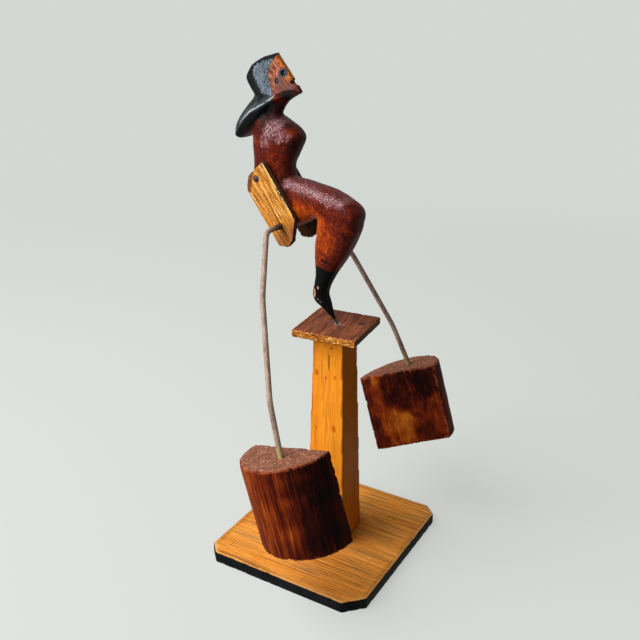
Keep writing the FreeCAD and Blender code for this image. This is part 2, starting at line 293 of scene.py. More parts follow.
def shaped(mesh, *steps):
    # the mesh as a row of modifiers leaves it
    holder = bpy.data.objects.new("bench", mesh)
    bpy.context.scene.collection.objects.link(holder)
    for kind, settings in steps:
        modifier = holder.modifiers.new(kind.lower(), kind)
        for name, value in settings.items():
            setattr(modifier, name, value)
    graph = bpy.context.evaluated_depsgraph_get()
    result = bpy.data.meshes.new_from_object(holder.evaluated_get(graph))
    bpy.data.objects.remove(holder)
    return result


def fine(mesh, voxel, soften):
    remesh = {"mode": "VOXEL", "voxel_size": voxel * mm, "use_smooth_shade": True}
    return shaped(mesh, ("REMESH", remesh), ("SMOOTH", {"factor": 0.5, "iterations": soften}))


def cutFrom(node, axes):
    # a node's own solid, in a piece's axes
    work = bmesh.new()
    work.from_mesh(nodes[node].data)
    bmesh.ops.remove_doubles(work, verts=work.verts, dist=0.0001 * mm)
    work.transform(axes.inverted())
    mesh = bpy.data.meshes.new(node + "Cut")
    work.to_mesh(mesh)
    work.free()
    return mesh


def meshOf(name, points, faces):
    mesh = bpy.data.meshes.new(name)
    mesh.from_pydata([tuple(Vector(point) * mm) for point in points], [], faces)
    return mesh


def joinedMeshes(name, *meshes):
    # several meshes as one, still running through each other
    work = bmesh.new()
    for mesh in meshes:
        work.from_mesh(mesh)
    joined = bpy.data.meshes.new(name)
    work.to_mesh(joined)
    work.free()
    return joined


def setOut(name, mesh, axes, finish, body, slot, *replaced):
    # puts a finished piece in its place and on its body, with its own axes painted on it
    own = mesh.attributes.new("ownPlace", "FLOAT_VECTOR", "POINT")
    own.data.foreach_set("vector", (pointsOf(mesh) * mm).ravel())
    mesh.transform(axes.to_3x3().to_4x4())
    piece = bpy.data.objects.new(name, mesh)
    bpy.context.scene.collection.objects.link(piece)
    piece.matrix_world = Matrix.Translation(axes.translation)
    mesh.materials.clear()
    mesh.materials.append(finish.material)
    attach(piece, body)
    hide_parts(*replaced)
    print("piece", name, len(mesh.polygons), "faces")


def worked(mesh, piece, shift=0):
    # hand-sawn surfaces: slow waves everywhere, and small chips out of the sharp edges. Both
    # have a depth and a size in the piece's dictionary
    points = pointsOf(mesh)
    seed = piece["seed"] + shift
    wave, waveSize = piece["wave"]
    chip, chipSize = piece["chip"]
    edge = step(proudness(mesh, 12), 0.05, 0.22)
    push = clouds(points, waveSize, seed) * wave
    chips = step(clouds(points, chipSize, seed + 9.7), 0.1, 0.55) * edge * chip
    setPoints(mesh, points + normalsOf(mesh) * (push - chips)[:, None])
    paint(mesh, edge=edge, chip=smoothed(mesh, chips / chip, 1))
    return points


# View and light
view = {
    "place": (159.3, -274.26, 238.68),
    "right": (0.8602, 0.5100, 0.0),
    "up": (-0.194, 0.327, 0.925),
    "back": (0.4718, -0.7957, 0.3798),
    "lens": 46.81,
}


def setCamera():
    lens = bpy.data.cameras.new("view")
    lens.lens = view["lens"]
    lens.clip_start = 5 * mm
    camera = bpy.data.objects.new("view", lens)
    turned = Matrix([view[name] for name in ("right", "up", "back")]).transposed()
    camera.matrix_world = Matrix.Translation(Vector(view["place"]) * mm) @ turned.to_4x4()
    bpy.context.scene.collection.objects.link(camera)
    bpy.context.scene.camera = camera
    bpy.context.scene.view_settings.view_transform = "Standard"


studio = {
    "paper": srgb(212, 216, 212),
    "litShare": 0.30,  # how much of the paper's shade comes from the lamps, the rest is even
    "bounce": srgb(128, 126, 122),  # how pale the floor is to the object
    "roomLight": (0.96, 0.86, 0.76),
    "roomStrength": 0.11,
    "floorSize": 40.0,
    "fadeStart": 0.15,  # from here the paper loses its shadows, until it has the shade of the air
    "fadeEnd": 0.8,
    "windowPlace": (-0.48, -0.66, 0.86),
    "windowSize": (1.3, 1.3),
    "windowPower": 31.0,
    "windowColour": (1.0, 0.985, 0.96),
    "panelPlace": (-0.66, -0.80, 0.13),
    "panelSize": (0.34, 0.34),
    "panelPower": 1.6,
    "panelColour": (0.95, 0.97, 1.0),
}


def setLamp(name):
    lamp = bpy.data.lights.new(name, "AREA")
    lamp.shape = "RECTANGLE"
    lamp.size, lamp.size_y = studio[name + "Size"]
    lamp.energy = studio[name + "Power"]
    lamp.color = studio[name + "Colour"]
    holder = bpy.data.objects.new(name, lamp)
    place = Vector(studio[name + "Place"])
    turned = (middleOf("figure") - place).to_track_quat("-Z", "Y").to_matrix()
    holder.matrix_world = Matrix.Translation(place) @ turned.to_4x4()
    bpy.context.scene.collection.objects.link(holder)
    return holder


def shade(colour, share):
    # the same colour, darker
    return tuple(c * share for c in colour)


def setStudio():
    half = studio["floorSize"] / mm / 2
    corners = [(x * half, y * half, 0) for x, y in ((-1, -1), (1, -1), (1, 1), (-1, 1))]
    floor = meshOf("floor", corners, [(0, 1, 2, 3)])
    paper, lit = studio["paper"], studio["litShare"]
    plain = Finish("palePaper", roughness=0.9, specularIorLevel=0.0, emissionStrength=1.0)
    spot = plain.add("TexCoord", out="Object")
    away = plain.add("VectorMath", {"operation": "LENGTH"}, {0: spot}, out="Value")
    fade = plain.between(away, studio["fadeStart"], studio["fadeEnd"])
    glow = plain.mix(fade, shade(paper, 1 - lit), paper)
    matt = plain.mix(fade, shade(paper, lit), (0, 0, 0))
    plain.lay(baseColor=plain.mix(plain.seen(), studio["bounce"], matt))
    plain.lay(emissionColor=plain.mix(plain.seen(), (0, 0, 0), glow))
    ground = bpy.data.objects.new("floor", floor)
    floor.materials.append(plain.material)
    bpy.context.scene.collection.objects.link(ground)
    setLamp("window")
    setLamp("panel").visible_glossy = False
    room = bpy.data.worlds.new("room")
    bpy.context.scene.world = room
    room.use_nodes = True
    room.node_tree.nodes.clear()
    air = Recipe(room.node_tree)
    light = {"Color": studio["roomLight"], "Strength": studio["roomStrength"]}
    dim = air.add("Background", sockets=light)
    pale = air.add("Background", sockets={"Color": paper, "Strength": 1.0})
    both = air.add("MixShader", sockets={0: air.seen(), 1: dim, 2: pale})
    air.add("OutputWorld", sockets={"Surface": both})


setCamera()
setStudio()
print("view and light ready")


# The carved figure. Points are (forward, up) from the toe in millimetres, seen from its side.
figure = {
    "halfWidth": 6.5,  # of the board that it is carved from
    "around": 44,  # points round a section
    "steps": 5,  # sections from one row below to the next
    "voxel": 0.3,
    # front point, back point, share of the half width, and how square the section is
    "shin": [
        (-0.2, 0.9, -1.3, 0.9, 0.12, 2.2),
        (-2.2, 5, -5.7, 4.8, 0.30, 2.3),
        (-3.8, 8.8, -9.9, 8, 0.48, 2.4),
        (-4.8, 12, -11.2, 11.4, 0.54, 2.5),
        (-3.2, 16.4, -10.1, 16.4, 0.57, 2.6),
        (0.1, 22.4, -9.4, 22.4, 0.70, 2.8),
        (5.4, 30.6, -9.6, 30.6, 0.86, 2.8),
        (9.3, 38.6, -8.6, 38, 0.97, 2.8),
        (10.6, 43.2, -8.2, 43, 0.98, 2.7),
        (10.3, 46.6, -7.6, 47, 0.90, 2.5),
    ],
    "thigh": [
        (10.9, 47.4, 10.8, 45, 0.36, 2.2),
        (10, 49, 9.6, 42.6, 0.78, 2.3),
        (7.6, 51.3, 6.6, 41, 0.95, 2.5),
        (2, 54, 1, 41.2, 1.00, 2.7),
        (-6.8, 56.4, -8.2, 43.6, 1.00, 2.7),
        (-17.6, 57.8, -17.4, 38.8, 1.00, 2.8),
        (-27, 59, -25, 38.6, 1.00, 2.8),
        (-34.6, 59.2, -32, 40.4, 0.96, 2.6),
        (-39.2, 56.4, -37.2, 45.4, 0.78, 2.3),
    ],
    "torso": [
        (-21.6, 50, -38.6, 50, 0.94, 2.8),
        (-21.6, 57, -39.6, 57, 0.93, 2.8),
        (-21.4, 62.8, -39.6, 62, 0.87, 2.7),
        (-19, 67.6, -39.7, 67.2, 0.94, 2.6),
        (-16.9, 71.6, -40, 72.6, 0.99, 2.5),
        (-16.3, 74.4, -40, 76, 1.00, 2.5),
        (-18.6, 77, -39.4, 79.6, 0.93, 2.4),
        (-23, 79.6, -38.4, 81.8, 0.78, 2.3),
        (-26, 81.2, -37, 83.2, 0.62, 2.2),
    ],
    "neck": [
        (-26.9, 78.6, -37.6, 79.6, 0.56, 2.4),
        (-26.6, 82.6, -37.2, 83.6, 0.50, 2.4),
        (-24.4, 86.2, -37, 87, 0.50, 2.4),
        (-21.6, 88.5, -37, 90.2, 0.50, 2.4),
        (-19, 90.1, -37, 93.4, 0.42, 2.4),
        (-22, 91.8, -37, 96, 0.26, 2.4),
    ],
    "hair": [
        (-29.2, 93.4, -38.4, 95, 0.80, 2),
        (-29, 89.6, -38.6, 91, 0.86, 2),
        (-30.4, 85, -39.8, 87.6, 0.93, 2),
        (-33.6, 80.6, -42.6, 84.8, 0.99, 2),
        (-37.4, 76.8, -45.8, 81.2, 1.00, 2),
        (-41.2, 73.6, -48.4, 77.4, 0.97, 2),
        (-44.2, 71.8, -48.9, 74.4, 0.84, 2),
        (-45.6, 71.6, -47.8, 72.8, 0.52, 2),
    ],
    # half a section of the hair, from its inner side over the ridge to its back: along, across
    "hairSection": [
        (1, 0), (0.93, 0.62), (0.66, 0.92), (0.12, 1), (-0.52, 0.62), (-0.92, 0.3), (-1, 0),
    ],
    # the head as it is sawn: a side outline, and a plan outline sawn along the slope of the face
    "head": [
        (-28.3, 105), (-20.4, 95.7), (-21.4, 94.8), (-20.7, 93.9), (-18.7, 93.5), (-16.9, 91),
        (-18.9, 90.2), (-23, 89), (-27.6, 87.4), (-36.2, 87), (-40, 95.8), (-37.2, 100.2),
        (-32.4, 103.6),
    ],
    "headRadii": [0.4, 0.25, 0.3, 0.3, 0.8, 0.5, 1.0, 2.0, 2.0, 1.0, 3.2, 4.5, 4.0],
    "faceSlope": 0.85,
    "headPlan": [
        (-19.4, 0.10), (-21.6, 0.18), (-25.2, 0.47), (-30, 0.82), (-40, 0.84), (-44, 0.45),
    ],
    "headPlanRadii": [0.3, 0.5, 2.0, 3.0, 3.0, 1.8],
    "hairEdge": [
        (-27.6, 106), (-28.2, 104), (-29.2, 102.1), (-29.7, 99.8), (-29.6, 97.3), (-28.6, 94.6),
        (-27.6, 92.4), (-26.7, 90), (-26.3, 89), (-28.3, 86.9), (-28.9, 85.2), (-30, 83.3),
        (-34.6, 80.4), (-38.4, 77.4), (-41.7, 74.6), (-45.2, 70), (-56, 70), (-56, 110), (-30, 110),
    ],
    # where the paint of the hair is thin and grey, partly a painted reflection, and the ridge of the curl
    # below it, with painted highlight and reflections
    "silver": [
        (-26.4, 89.4), (-32.4, 90.2), (-33.4, 92.3), (-34.8, 94.2), (-35.8, 96.1), (-36.6, 98.1),
        (-35.4, 100.1), (-32.4, 102.3), (-29, 102.9), (-29.4, 99.8), (-29.3, 97.3), (-28.3, 94.6),
        (-26.6, 90.6),
    ],
    "curl": [
        (-25, 90.2), (-26.5, 89.3), (-32.8, 85.7), (-38.7, 82.4), (-42.6, 79.2), (-44.8, 76),
        (-48, 72), (-48, 66), (-20, 66),
    ],
    "faceEdge": [
        (-27.2, 88.4), (-25.5, 90.4), (-22.9, 91.6), (-20.4, 92.1), (-18.6, 91.8), (-16.2, 90.4),
        (-15, 94), (-17, 97), (-26, 110), (-34, 110), (-34, 90),
    ],
    "amberEdge": [
        (-30.4, 104.4), (-26.2, 99.6), (-23.5, 96.6), (-22.4, 94.2), (-18, 94.4), (-15, 97),
        (-24, 110), (-34, 110),
    ],
    "bootEdge": [
        (-14, 26.3), (-9.6, 25.4), (-5.1, 24.4), (-1, 23.2), (4, 22.4), (4, -3), (-14, -3),
    ],
    # small marks: a middle, or two ends
    "eye": (-24.5, 98),
    "glint": (-24.1, 98.3),
    "notch": (-20.9, 94.7),
    "lips": (-18.3, 92),
    "tear": (-26.3, 95.6, -26, 94.7),
    "slit": (-4.4, 27.6, -2.2, 26.7),
    # how warm the stain is at a place, from black-brown at 0 to orange at 1; its lowest values, under the
    # jaw, down the neck and on the front of the chest, are painted shade
    "stain": [
        (-3, 34, 0.66), (-6, 28, 0.54), (-1, 25.5, 0.3), (-7.5, 38, 0.7), (-1, 38, 0.58),
        (3.6, 33, 0.36), (5.5, 38, 0.34), (10, 44, 0.34), (6, 48.5, 0.34), (1, 44, 0.4),
        (-6, 43, 0.76), (-2, 51, 0.36), (-12, 54, 0.34), (-12.5, 44.5, 0.66), (-16, 46, 0.72),
        (-8, 58.5, 0.3), (-20, 50, 0.34), (-20, 42, 0.36), (2, 53.5, 0.36), (-30, 52, 0.12),
        (-24, 61, 0.32), (-28.5, 65.5, 0.52), (-23, 67, 0.36), (-34.5, 66, 0.3), (-36.5, 72, 0.46),
        (-18, 73, 0.12), (-20, 75, 0.56), (-23.4, 72.6, 0.44), (-28, 70, 0.42), (-27, 75, 0.2),
        (-31, 76, 0.24), (-20, 70, 0.16), (-26, 62, 0.42), (-22, 80, 0.16), (-16.5, 77.5, 0.2),
        (-37.5, 78, 0.2), (-30, 83, 0.04), (-26, 86, 0.08), (-22, 90, -0.02), (-25.6, 87.8, 0.46),
        (-18.4, 92.8, 0.2),
    ],
    # places where the varnish has bloomed lilac, partly painted highlight: forward, up, radius
    "bloom": [
        (-28.6, 76.5, 3.8), (-25, 78.6, 3), (-23.4, 73.6, 2.4), (-20.6, 74.6, 1.8), (-31.4, 71.5, 3),
    ],
    # a painted highlight: a paler band along the top of the thigh
    "sheen": [(-20.8, 56.2), (-13.7, 55.2), (-7.5, 54.1), (-1.4, 52.4), (4.2, 51.4)],
    "sheenReach": 2.5,
    # bare wood where the boot is chipped: two ends of each chip, and its reach
    "chips": [
        (-7.3, 15.4, -7.3, 14.6, 0.5), (-9.2, 13.7, -9.1, 10.8, 0.62), (-8, 10, -6.2, 8.5, 0.24),
    ],
    # the duller, browner cheek: forward, up, radius
    "dusk": [
        (-22.6, 92.8, 2.2), (-25.4, 92.6, 1.6), (-24.8, 95.4, 1.3), (-20, 92.9, 1.5),
        (-26.6, 90.8, 0.9),
    ],
    # knife work: how far the joins are softened, then depths, and the sizes of its facets
    "softening": 16,
    "facet": 0.16,
    "facetSize": 4.2,
    "nick": 0.05,
    "nickSize": 1.3,
    "eyeRing": (1.4, 0.3, 0.10),  # radius, width and height
    "eyeSunk": 0.3,
    "tearSunk": 0.2,
    "slitSunk": 0.4,
    "chipSunk": 0.25,
    "paintProud": 0.10,
    # colours: along a ramp from low to high, or coat by coat
    "woodTones": tones(
        (0, 14, 6, 6), (0.22, 50, 15, 11), (0.45, 94, 27, 14), (0.66, 150, 56, 11),
        (0.86, 190, 88, 15), (1, 214, 118, 42),
    ),
    "bloomAndHighlightTones": [srgb(112, 62, 64), srgb(180, 154, 162)],
    "slitTone": srgb(10, 5, 5),
    "skinTones": tones(
        (0.39, 46, 24, 20), (0.46, 134, 70, 50), (0.53, 176, 102, 72), (0.64, 210, 158, 138),
    ),
    "amberTones": tones((0.4, 64, 30, 10), (0.47, 138, 70, 20), (0.55, 178, 104, 38), (0.66, 204, 142, 76)),
    # the front facet's amber, made paler as painted light
    "frontLightTone": srgb(214, 128, 48),
    "duskTone": srgb(92, 62, 60),
    "lipTone": srgb(86, 34, 26),
    "frontEdgeTone": srgb(20, 12, 9),
    "notchShadeTone": srgb(8, 6, 6),
    "lidTone": srgb(70, 38, 30),
    "ringTones": [srgb(46, 56, 63), srgb(92, 106, 116)],
    "pupilTone": srgb(10, 12, 13),
    "glintTone": srgb(96, 110, 112),
    # the tear: its veil, its dark rim and a painted glint
    "tearTones": [srgb(88, 74, 80), srgb(18, 17, 19), srgb(120, 128, 124)],
    "hairTones": [srgb(9, 10, 11), srgb(25, 28, 29)],
    "thinPaintReflectionTones": tones(
        (0.38, 22, 26, 30), (0.46, 74, 84, 94), (0.55, 102, 114, 126), (0.68, 150, 162, 174),
    ),
    # the curl: painted reflection above its ridge, painted highlight on it, painted reflection below it,
    # and black
    "curlReflectionTones": [srgb(60, 67, 69), srgb(150, 162, 170), srgb(50, 56, 60), srgb(12, 13, 14)],
    "bootTones": [srgb(5, 4, 5), srgb(11, 10, 11)],
    "chipTone": srgb(190, 136, 106),
}


def smoothRows(rows, steps):
    # a smooth run through each row of numbers
    rows = np.array(rows, float)
    padded = np.vstack([2 * rows[0] - rows[1], rows, 2 * rows[-1] - rows[-2]])
    run = []
    for a, b, c, d in zip(padded, padded[1:], padded[2:], padded[3:]):
        square, cube = 2 * a - 5 * b + 4 * c - d, 3 * b - a - 3 * c + d
        for t in np.arange(steps) / steps:
            run.append(0.5 * (2 * b + (c - a) * t + square * t * t + cube * t ** 3))
    return np.array(run + [rows[-1]])


def squareRound(turn, power):
    # a point of a rounded section, squarer for a higher power
    along = math.copysign(abs(math.cos(turn)) ** (2 / power), math.cos(turn))
    return along, math.copysign(abs(math.sin(turn)) ** (2 / power), math.sin(turn))


def ridged(turn, corners):
    # a point of a faceted section, through corners given for half of it
    place = abs((turn + math.pi) % (2 * math.pi) - math.pi) / math.pi * (len(corners) - 1)
    k = min(int(place), len(corners) - 2)
    along, across = Vector(corners[k]).lerp(Vector(corners[k + 1]), place - k)
    return along, across if turn <= math.pi else -across


def limb(name, rows, corners=None):
    # a closed form through sections across the figure
    around, half = figure["around"], figure["halfWidth"]
    turns = [2 * math.pi * k / around for k in range(around)]
    run = smoothRows(rows, figure["steps"])
    points = []
    for frontX, frontZ, backX, backZ, share, power in run:
        for turn in turns:
            along, across = ridged(turn, corners) if corners else squareRound(turn, power)
            x = (frontX + backX) / 2 + (frontX - backX) / 2 * along
            z = (frontZ + backZ) / 2 + (frontZ - backZ) / 2 * along
            points.append((x, share * half * across, z))
    faces = []
    for ring in range(len(run) - 1):
        for k in range(around):
            low, after = ring * around, (k + 1) % around
            faces.append((low + k, low + after, low + around + after, low + around + k))
    last = len(points) - around
    faces.append(tuple(reversed(range(around))))
    faces.append(tuple(range(last, last + around)))
    return meshOf(name, points, faces)


def roundedOutline(corners, radii, steps=6):
    # the corners of an outline, each rounded off by a few points
    points = []
    count = len(corners)
    for k in range(count):
        corner = Vector(corners[k])
        back = (Vector(corners[k - 1]) - corner).normalized()
        on = (Vector(corners[(k + 1) % count]) - corner).normalized()
        half = back.angle(on) / 2
        reach = radii[k] / math.tan(half)
        for t in [n / steps for n in range(steps + 1)]:
            start, end = corner + back * reach, corner + on * reach
            points.append(start.lerp(corner, t).lerp(corner.lerp(end, t), t))
    return points


def board(name, outline, place, reach):
    # an outline sawn through a board; place turns an outline point and a depth into a point
    count = len(outline)
    points = [place(point, depth) for depth in (-reach, reach) for point in outline]
    faces = [tuple(reversed(range(count))), tuple(range(count, 2 * count))]
    faces += [(k, (k + 1) % count, count + (k + 1) % count, count + k) for k in range(count)]
    mesh = meshOf(name, points, faces)
    work = bmesh.new()
    work.from_mesh(mesh)
    bmesh.ops.recalc_face_normals(work, faces=work.faces)
    work.to_mesh(mesh)
    work.free()
    return mesh


def sawnHead():
    # the block left when the side outline and the plan outline have both been sawn
    side = roundedOutline(figure["head"], figure["headRadii"])
    half = figure["halfWidth"]
    plan = [(x, share * half) for x, share in figure["headPlan"]]
    plan = plan + [(x, -y) for x, y in reversed(plan)]
    plan = roundedOutline(plan, figure["headPlanRadii"] + figure["headPlanRadii"][::-1])
    nose = figure["head"][1][1]
    along = figure["faceSlope"]
    cut = board("plan", plan, lambda p, depth: (p[0] - along * depth, p[1], nose + depth), 40)
    tool = bpy.data.objects.new("planSaw", cut)
    bpy.context.scene.collection.objects.link(tool)
    block = board("side", side, lambda p, depth: (p[0], depth, p[1]), 2 * half)
    head = shaped(block, ("BOOLEAN", {"operation": "INTERSECT", "object": tool, "solver": "EXACT"}))
    bpy.data.objects.remove(tool)
    return head


def inside(points, outline):
    # signed distance in the side view to a closed outline, positive inside
    flat = points[:, [0, 2]]
    corners = np.array(outline, float)
    nearest = np.full(len(flat), 1e9)
    within = np.zeros(len(flat), bool)
    for a, b in zip(corners, np.roll(corners, -1, 0)):
        way = b - a
        t = np.clip(((flat - a) @ way) / (way @ way), 0, 1)
        nearest = np.minimum(nearest, np.linalg.norm(flat - a - t[:, None] * way, axis=1))
        crosses = (a[1] > flat[:, 1]) != (b[1] > flat[:, 1])
        with np.errstate(divide="ignore", invalid="ignore"):
            at = a[0] + (flat[:, 1] - a[1]) * way[0] / way[1]
        within ^= crosses & (flat[:, 0] < at)
    return np.where(within, nearest, -nearest)


def distanceTo(points, x, z):
    return np.hypot(points[:, 0] - x, points[:, 2] - z)


def spread(points, spots, power=3.0):
    # a smooth field through given values at places in the side view
    total = np.zeros(len(points))
    whole = np.zeros(len(points))
    for x, z, value in spots:
        share = 1 / (distanceTo(points, x, z) + 0.6) ** power
        total += share * value
        whole += share
    return total / whole


def gathered(points, spots):
    # soft round spots in the side view, each 1 at its middle
    x, z = points[:, 0], points[:, 2]
    return np.clip(sum(np.exp(-((x - a) ** 2 + (z - b) ** 2) / r ** 2) for a, b, r in spots), 0, 1)


def segmentDistance(points, x0, z0, x1, z1):
    # how far points are from a line between two ends, in the side view
    a, way = np.array((x0, z0)), np.array((x1 - x0, z1 - z0))
    flat = points[:, [0, 2]] - a
    t = np.clip((flat @ way) / (way @ way), 0, 1)
    return np.linalg.norm(flat - t[:, None] * way, axis=1)


def sheenBand(points):
    # 1 along the middle of the painted highlight band on the thigh
    runs = zip(figure["sheen"], figure["sheen"][1:])
    nearest = np.min([segmentDistance(points, *start, *end) for start, end in runs], axis=0)
    return np.exp(-(nearest / figure["sheenReach"]) ** 2)


def paintChips(points):
    # 1 where the paint of the boot is off
    chips = [np.exp(-(segmentDistance(points, *chip[:4]) / chip[4]) ** 2) for chip in figure["chips"]]
    return np.max(chips, axis=0) * step(clouds(points, 0.8, 15.0), -0.5, -0.1)


def roughFigure():
    # all its forms in one block, with the joins between body and limbs softened
    forms = [limb(name, figure[name]) for name in ("shin", "thigh", "torso", "neck")]
    forms.append(limb("hair", figure["hair"], figure["hairSection"]))
    mesh = fine(joinedMeshes("figure", sawnHead(), *forms), figure["voxel"], 1)
    points = pointsOf(mesh)
    hair = step(inside(points, figure["hairEdge"]), -1.0, 0.5)
    head = np.maximum(step(points[:, 2], 82.5, 86.0), hair)
    soft = smoothed(mesh, points, figure["softening"])
    setPoints(mesh, points + (soft - points) * (1 - head)[:, None])
    return mesh, head


def carveFigure():
    mesh, head = roughFigure()
    points = pointsOf(mesh)
    outlines = ("hairEdge", "bootEdge", "faceEdge", "amberEdge", "silver", "curl")
    borders = {name: inside(points, figure[name]) for name in outlines}
    eye, glint, notch, lips = (distanceTo(points, *figure[k]) for k in ("eye", "glint", "notch", "lips"))
    tear, slit = (segmentDistance(points, *figure[name]) for name in ("tear", "slit"))
    chips = paintChips(points)
    across = abs(normalsOf(mesh)[:, 1])
    lateral = step(across, 0.25, 0.6)
    edge = step(proudness(mesh, 10), 0.02, 0.2)
    # slow facets and nicks, a sunk eye in its ring, the slit in the calf, paint that stands proud
    push = figure["facet"] * clouds(points, figure["facetSize"], 3.1) * (1 - 0.6 * head)
    push += figure["nick"] * clouds(points, figure["nickSize"], 8.2)
    push += figure["paintProud"] * step(borders["hairEdge"], -0.15, 0.25)
    radius, width, height = figure["eyeRing"]
    ring = height * np.exp(-((eye - radius) / width) ** 2)
    push += lateral * (ring - figure["eyeSunk"] * step(-eye, -0.9, -0.4))
    push -= lateral * figure["tearSunk"] * step(-tear, -0.6, -0.2)
    push -= figure["slitSunk"] * step(-slit, -0.65, -0.2) * lateral
    push -= figure["chipSunk"] * step(chips, 0.35, 0.7)
    carved = points + normalsOf(mesh) * push[:, None]
    half = figure["halfWidth"]
    carved[:, 1] = carved[:, 1].clip(-half, half)  # no thicker than its board
    setPoints(mesh, carved)
    painted = {**borders, "notch": notch, "lips": lips, "chips": chips, "edge": edge}
    for name, distance in {"eye": eye, "glint": glint, "tear": tear, "slit": slit}.items():
        painted[name] = np.where(lateral > 0.4, distance, farOff)
    painted["stain"] = spread(points, figure["stain"])
    # the lilac bloom of the varnish, partly painted highlight
    painted["bloom"] = gathered(points, figure["bloom"])
    painted["dusk"] = gathered(points, figure["dusk"])
    painted["sheen"] = sheenBand(points)
    painted["flank"] = smoothed(mesh, across, 1)
    paint(mesh, **painted)
    return mesh


def stainedWood(f, fibre, mottle, speck):
    crackle = f.cloud(1.1, (1, 1, 1.6), 4, 0.75, 1.2, 17.0)
    # the stain, with painted shade under the jaw, down the neck and on the chest front
    warm = f.painted("stain") + fibre.sway(0.55) + mottle.sway(0.6) + speck.sway(0.5)
    # the varnish, bloomed lilac with painted highlights, in fine crossing scratches and in a soft painted
    # highlight band down the thigh
    along = f.cloud(0.3, (1, 1, 16), 2, 0.55, 0.15, 30.0, -0.95)
    cross = f.cloud(0.3, (1, 1, 14), 2, 0.55, 0.15, 35.0, 0.5)
    veil = f.painted("bloom") + f.painted("sheen") * 1.1
    patch = veil * 0.5 + f.most(along, cross).sway(2.4) + crackle.sway(1.2)
    soft, pale = figure["bloomAndHighlightTones"]
    return f.coats(
        f.ramp(warm + crackle.sway(0.8), figure["woodTones"]),
        (soft, veil + crackle.sway(1.8), 0.3, 1.1, 0.55),
        (pale, patch, 0.56, 0.94, 0.8),
        (figure["slitTone"], f.painted("slit"), 0.6, 0.35),
    )


def paintedFace(f, mottle, speck):
    # salmon streaks along its slope, with an amber front
    strokes = f.cloud(0.4, (1.0, 1.0, 7.0), 4, 0.7, 0.4, 21.0, 0.7)
    amber = f.ramp(strokes * 0.6 + mottle * 0.4, figure["amberTones"])
    front = f.between(f.painted("flank"), 0.75, 0.45)
    eye = f.painted("eye") + speck.sway(0.25)
    tear = f.painted("tear")
    darkRing, ringTone = figure["ringTones"]
    veil, rim, tearGlint = figure["tearTones"]
    return f.coats(
        f.ramp(strokes * 0.8 + speck * 0.2, figure["skinTones"]),
        (amber, f.painted("amberEdge") + speck.sway(1.6), -0.4, 1.4),
        # the amber front facet, partly its colour and partly painted light
        (f.mix(0.3, amber, figure["frontLightTone"]), front),
        (figure["duskTone"], f.painted("dusk") + strokes.sway(2.6), 0.4, 0.9, 0.72),
        (figure["lipTone"], f.painted("lips") + speck.sway(1.2), 2.1, 1.1),
        # dark along the sharp edges of the front facet
        (figure["frontEdgeTone"], f.painted("edge") + speck.sway(0.2), 0.5, 0.75, front),
        # painted shade in the notch under the nose
        (figure["notchShadeTone"], f.painted("notch") + speck.sway(0.3), 0.65, 0.4),
        # a blue-grey ring about a dark pupil with a painted glint, and a tear below it with a painted glint
        (figure["lidTone"], eye, 1.95, 1.65, 0.8),
        (f.coats(darkRing, (ringTone, speck, 0.45, 0.6)), eye, 1.62, 1.45),
        (figure["pupilTone"], eye, 1.15, 0.95),
        (figure["glintTone"], f.painted("glint"), 0.34, 0.2),
        (veil, tear + speck.sway(0.6), 1.2, 0.75, 0.8),
        (rim, tear + speck.sway(0.2), 0.62, 0.48),
        (tearGlint, tear, 0.16, 0.08),
    )


def paintedHair(f, mottle, speck, rubbed):
    # black, thin and silvery on its flat, partly as a painted reflection, with a painted highlight on the
    # ridge of the curl and painted reflections beside it
    flat = f.between(f.painted("flank"), 0.4, 0.65)
    thin = f.between(f.painted("silver") + speck.sway(2.6), -0.2, 0.4) * flat
    curl = f.painted("curl") + speck.sway(0.5) + mottle.sway(0.8)
    height = f.along("Z")
    highlightHeight = f.between(height + mottle.sway(6), 76.5, 83)
    # painted reflections and a painted highlight on the curl, fading lower down, then the black under it
    dullReflection, ridgeHighlight, lowerReflection, deep = figure["curlReflectionTones"]
    return f.coats(
        f.mix(rubbed, *figure["hairTones"]),
        (dullReflection, curl, -2.8, -0.5, highlightHeight, 0.85),
        (ridgeHighlight, curl, -0.5, -0.12, highlightHeight),
        (lowerReflection, curl, 0.12, 0.4),
        (deep, curl, 0.3, 1.2),
        (f.ramp(speck * 0.6 + mottle * 0.4, figure["thinPaintReflectionTones"]), thin),
    )


def paintedBoot(f, speck, rubbed):
    chips = f.painted("chips") + speck.sway(0.6)
    return f.coats(f.mix(rubbed, *figure["bootTones"]), (figure["chipTone"], chips, 0.45, 0.6))


def figureFinish():
    f = Finish("stainedCarving", specularIorLevel=0.06)
    fibre = f.cloud(1.0, (1, 1, 4), 5, 0.7, 0.4)
    mottle = f.cloud(2.2, detail=4, rough=0.7, shift=4.0)
    speck = f.cloud(0.6, detail=3, rough=0.65, shift=9.0)
    rubbed = f.between(mottle * 0.5 + speck * 0.5, 0.42, 0.6)
    face = f.between(f.painted("faceEdge") + speck.sway(0.9), -0.1, 0.2)
    hair = f.between(f.painted("hairEdge") + speck.sway(0.6), -0.05, 0.12)
    boot = f.between(f.painted("bootEdge") + speck.sway(0.5), -0.05, 0.15)
    colour = f.coats(
        stainedWood(f, fibre, mottle, speck),
        (paintedFace(f, mottle, speck), face),
        (paintedHair(f, mottle, speck, rubbed), hair),
        (paintedBoot(f, speck, rubbed), boot),
    )
    relief = fibre * 0.5 + speck * 0.8 + hair * 0.3 + boot * 0.3
    gloss = 0.34 + mottle * 0.2 + boot * 0.12
    f.lay(baseColor=colour, roughness=gloss, normal=f.bump(relief, 0.16))
    return f


figureAxes = axesAt(joints["side_rock"]["pos_m"], ahead)
setOut("carved_figure", carveFigure(), figureAxes, figureFinish(), "figure", "figure_hardwood", "figure")


